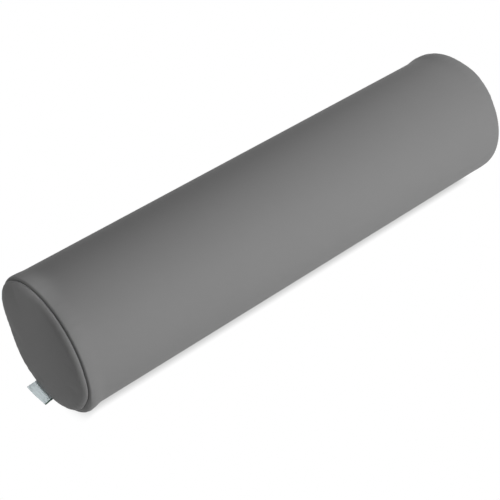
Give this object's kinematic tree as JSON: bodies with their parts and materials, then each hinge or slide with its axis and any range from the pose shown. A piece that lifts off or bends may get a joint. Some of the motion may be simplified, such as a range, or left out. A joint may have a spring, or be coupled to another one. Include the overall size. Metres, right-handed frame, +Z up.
{
  "type": "massage bolster",
  "caption": "Round foam bolster in a smooth leatherette cover with crowned end panels and a lengthwise zip at the back.",
  "frame": {"origin": "on the floor, at the middle of the flat on which the roll lies", "axes": "+X along the roll towards its far end, +Z up, +Y towards the back, where the zip is"},
  "size_m": [0.6081, 0.1537, 0.1518],
  "materials": {
    "leatherette": "satin",
    "foam": "matte",
    "label_ribbon": "satin",
    "zip_tape": "matte",
    "zip_teeth": "satin",
    "slider_metal": "satin"
  },
  "bodies": {
    "bolster": {"foam_core": "foam", "barrel_cover": "leatherette", "near_end_cover": "leatherette", "far_end_cover": "leatherette", "side_label": "label_ribbon", "zip_tape_upper": "zip_tape", "zip_tape_lower": "zip_tape", "zip_teeth_upper": "zip_teeth", "zip_teeth_lower": "zip_teeth", "zip_top_stop_upper": "zip_teeth", "zip_top_stop_lower": "zip_teeth", "zip_bottom_stop": "zip_teeth"},
    "slider": {"zip_slider": "slider_metal"},
    "pull_tab": {"zip_pull_tab": "slider_metal"}
  },
  "joints": [
    {"name": "zip_slide", "type": "slide", "parent": "bolster", "child": "slider", "axis": [1, 0, 0], "range_m": [0, 0.444], "deforming": ["zip_teeth_upper", "zip_teeth_lower"]},
    {"name": "pull_tab_hinge", "type": "hinge", "parent": "slider", "child": "pull_tab", "pos_m": [-0.2236, 0.07444, 0.09032], "axis": [0, -0.2079, 0.9781], "range_deg": [0, 180]}
  ]
}
